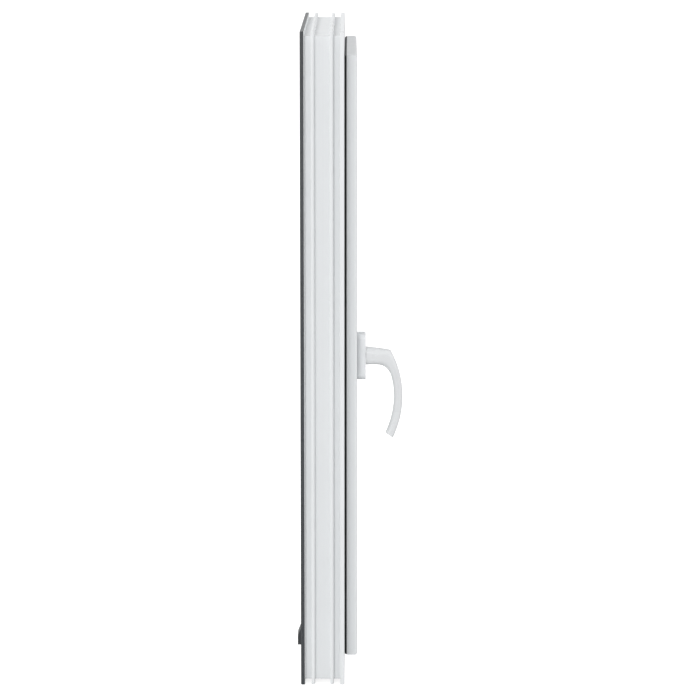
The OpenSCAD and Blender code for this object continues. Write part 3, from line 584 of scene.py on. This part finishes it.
def sweep_ring(name, section, material, body, node):
    """Mitred ring from a closed [u, v] section: a rectangle of edges is extruded from point to point."""
    clear_selection()
    bpy.ops.mesh.primitive_plane_add(size=1, location=(0, 0, centre_z), rotation=(math.pi / 2, 0, 0))
    piece = bpy.context.object
    piece.name = name
    bpy.ops.object.transform_apply(location=True, rotation=True, scale=True)
    bpy.ops.object.mode_set(mode="EDIT")
    bpy.ops.mesh.select_all(action="SELECT")
    bpy.ops.mesh.delete(type="ONLY_FACE")
    bpy.ops.mesh.select_all(action="SELECT")
    sizes = [(2 * (half_w - u), outdoor_y - v, 2 * (centre_z - u)) for u, v in section + section[:1]]
    wide, deep, tall = 1.0, 0.0, 1.0
    for place, (next_wide, next_deep, next_tall) in enumerate(sizes):
        if place:
            bpy.ops.mesh.extrude_edges_move()
        bpy.ops.transform.translate(value=(0, next_deep - deep, 0))
        bpy.ops.transform.resize(
            value=(next_wide / wide, 1, next_tall / tall), center_override=(0, next_deep, centre_z)
        )
        wide, deep, tall = next_wide, next_deep, next_tall
    bpy.ops.mesh.select_all(action="SELECT")
    bpy.ops.mesh.remove_doubles(threshold=0.001 * MM)
    bpy.ops.mesh.normals_make_consistent(inside=False)
    bpy.ops.object.mode_set(mode="OBJECT")
    bpy.ops.object.shade_smooth_by_angle(angle=math.radians(40))
    piece.data.materials.append(material)
    clear_selection()
    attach(piece, body)
    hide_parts(node)


def ring_limits(node):
    """u and v limits of a ring-shaped node."""
    ring_low, ring_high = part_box(node)
    return ring_low.x + half_w, outdoor_y - ring_high.y, outdoor_y - ring_low.y


def seal_section(u_start, width, v_foot, v_top):
    """Closed section of a seal, width across, that stands on v_foot."""
    u_end = u_start + width
    return [(u_end, v_foot), (u_start, v_foot)] + half_round(u_start, u_end, v_foot, v_top)[1:-1]


sash_seal_width = 5.4 * MM
seal_u, seal_v0, seal_v1 = ring_limits("sash_gasket")
sash_section = seal_section(seal_u, sash_seal_width, seal_v1, seal_v0)
sweep_ring("sash_seal", sash_section, rubber, "sash", "sash_gasket")

frame_seal_width = 4.6 * MM
stop_u, stop_v0, stop_v1 = ring_limits("frame_gasket")
frame_section = seal_section(stop_u, frame_seal_width, stop_v0, stop_v1)
sweep_ring("frame_seal", frame_section, rubber, "frame", "frame_gasket")
for node in ("glazing_gasket_outdoor", "glazing_gasket_indoor"):
    dress(node, rubber)


# ---- Hardware ----
# Strikers, faceplate, rod, cams, gearbox and screws are of zinc-plated steel, the hinges are
# coated white, and the covers on them and the drain caps are moulded plastic, clipped on.

plated = plain_metal("plated_steel", (0.50, 0.51, 0.52), (0.70, 0.70, 0.69), 0.24, 0.38, 500.0)
# The edge copy is lighter and glossier: a painted highlight on the rounded edges.
plated_edge_highlight = plain_metal(
    "plated_steel_edge_highlight", (0.66, 0.67, 0.68), (0.82, 0.82, 0.81), 0.16, 0.26, 500.0
)
pressed_edge = 0.25 * MM
for node in ("strikers", "faceplate", "cams", "gearbox_case", "gearbox_lid"):
    soften(node, pressed_edge, plated, plated_edge_highlight)
for node in (
    "striker_screws", "bracket_screws", "leaf_screws", "faceplate_screws", "rosette_screws",
    "drive_rod", "pinion", "spindle", "lever_grub_screw", "frame_steel", "sash_steel",
):
    dress(node, plated)

hinge_coat = moulded("hinge_coating", (0.72, 0.73, 0.74), (0.76, 0.77, 0.78), 0.28, 0.42, 700.0, 0.25)
# The edge copy is a little lighter: a painted highlight on the rounded edges.
hinge_edge_highlight = moulded(
    "hinge_coating_edge_highlight", (0.75, 0.76, 0.77), (0.79, 0.80, 0.81), 0.22, 0.34, 700.0, 0.2
)
hinge_round = 0.4 * MM
for node in ("hinge_bracket_lower", "hinge_bracket_upper", "hinge_leaf_lower", "hinge_leaf_upper"):
    soften(node, hinge_round, hinge_coat, hinge_edge_highlight)
soften("hinge_pins", hinge_round, plated, plated_edge_highlight)

white_plastic = moulded(
    "white_cover_plastic", (0.72, 0.735, 0.75), (0.75, 0.765, 0.78), 0.30, 0.45, 1500.0, 0.15
)
cover_round, cap_round = 0.6 * MM, 0.5 * MM
soften("bracket_covers", cover_round, white_plastic)
dark_plastic = moulded("dark_cap_plastic", (0.03, 0.033, 0.037), (0.05, 0.054, 0.06), 0.40, 0.55)
soften("drain_caps", cap_round, dark_plastic)


# ---- Handle ----
# Die-cast lever with a white powder coat: a round neck that bends down into an oval grip,
# turning in the collar of a moulded rosette cover.

white_coat = moulded("handle_powder_coat", (0.69, 0.70, 0.71), (0.73, 0.742, 0.75), 0.24, 0.36, 420.0, 0.2)

lever_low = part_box("handle_lever")[0]
cover_low, cover_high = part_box("rosette_cover")
axis_x = (cover_low.x + cover_high.x) / 2
axis_z = (cover_low.z + cover_high.z) / 2
sash_face_y = cover_high.y
reach = sash_face_y - lever_low.y

# The grip lies between two arcs about one centre.
grip_outer = 128 * MM
grip_thick = 12 * MM
grip_below = 57 * MM
grip_centre = Vector((reach - grip_outer, -grip_below))


def on_grip(radius, degrees):
    angle = math.radians(degrees)
    return grip_centre + Vector((math.cos(angle), math.sin(angle))) * radius


# Each station is the outer and the inner point of a section, as [out, up] in mm from the
# handle axis on the sash face, with the width of the section.
neck_stations = [
    (12.1, 12.2, 12.1, -12.2, 24.4), (12.7, 12.1, 12.7, -12.1, 24.4), (20.0, 11.2, 17.5, -11.9, 24.4),
    (30.0, 10.0, 24.0, -11.7, 24.2), (38.5, 8.8, 29.8, -11.9, 23.8), (43.4, 8.0, 34.0, -12.9, 23.2),
    (45.4, 7.6, 36.4, -14.0, 23.0), (46.5, 6.6, 38.6, -15.3, 22.8), (47.6, 4.4, 40.4, -16.7, 22.4),
    (52.2, -5.0, 44.2, -21.2, 21.6),
    (56.2, -15.3, 46.6, -25.8, 21.0),
]
stations = [
    (Vector((outer_x, outer_y)) * MM, Vector((inner_x, inner_y)) * MM, width * MM)
    for outer_x, outer_y, inner_x, inner_y, width in neck_stations
]
for outer_angle, inner_angle, width in (
    (13.0, 11.0, 20.4), (5.0, 4.0, 19.6), (-3.0, -3.8, 19.2), (-11.0, -11.5, 19.2),
    (-18.0, -18.2, 19.8), (-24.0, -23.4, 20.8), (-26.0, -25.2, 21.0), (-26.5, -25.75, 21.0),
):
    inner = on_grip(grip_outer - grip_thick, inner_angle)
    stations.append((on_grip(grip_outer, outer_angle), inner, width * MM))
tip_outer, tip_inner, tip_width = stations[-1]
tip_across = (tip_outer - tip_inner).normalized()
tip_along = Vector((tip_across.y, -tip_across.x))
tip_in, tip_out = 0.8 * MM, 0.1 * MM
stations.append((
    tip_outer - tip_across * tip_in + tip_along * tip_out,
    tip_inner + tip_across * tip_in + tip_along * tip_out,
    tip_width - 2 * tip_in,
))

clear_selection()
# The section is flatter on its sides than an ellipse: a square, 2 across, with bevelled corners.
bpy.ops.mesh.primitive_circle_add(
    vertices=4, radius=math.sqrt(2), fill_type="NOTHING", rotation=(0, 0, math.pi / 4)
)
corner_round = 0.62
lever = bpy.context.object
lever.name = "lever_grip"
bpy.ops.object.transform_apply(rotation=True)
bpy.ops.object.mode_set(mode="EDIT")
bpy.ops.mesh.select_all(action="SELECT")
bpy.ops.mesh.subdivide(number_cuts=2)
bpy.ops.mesh.select_all(action="DESELECT")
bpy.ops.object.mode_set(mode="OBJECT")
for point in lever.data.vertices:
    point.select = abs(point.co.x) > 0.9 and abs(point.co.y) > 0.9
bpy.ops.object.mode_set(mode="EDIT")
bpy.ops.mesh.bevel(offset=corner_round, segments=6, affect="VERTICES")
bpy.ops.mesh.select_all(action="SELECT")
at, tilt, thick, wide = Vector((0, 0, 0)), 0.0, 2.0, 2.0
for place, (outer, inner, width) in enumerate(stations):
    if place:
        bpy.ops.mesh.extrude_edges_move()
    middle, across = (outer + inner) / 2, outer - inner
    centre = Vector((axis_x, sash_face_y - middle.x, axis_z + middle.y))
    turn = math.atan2(across.y, -across.x)
    bpy.ops.transform.translate(value=centre - at)
    bpy.ops.transform.rotate(value=tilt, orient_axis="X", center_override=centre)
    bpy.ops.transform.resize(value=(width / wide, across.length / thick, 1), center_override=centre)
    bpy.ops.transform.rotate(value=-turn, orient_axis="X", center_override=centre)
    at, tilt, thick, wide = centre, turn, across.length, width
bpy.ops.mesh.edge_face_add()
bpy.ops.mesh.select_all(action="SELECT")
bpy.ops.mesh.normals_make_consistent(inside=False)
bpy.ops.object.mode_set(mode="OBJECT")
rounder = lever.modifiers.new("flow", "SUBSURF")
rounder.levels = rounder.render_levels = 2
bpy.ops.object.modifier_apply(modifier=rounder.name)
bpy.ops.object.shade_smooth()
lever.data.materials.append(white_coat)
clear_selection()
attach(lever, "handle")
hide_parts("handle_lever")

rosette_round = 1.5 * MM
soften("rosette_cover", rosette_round, white_plastic, segments=4)
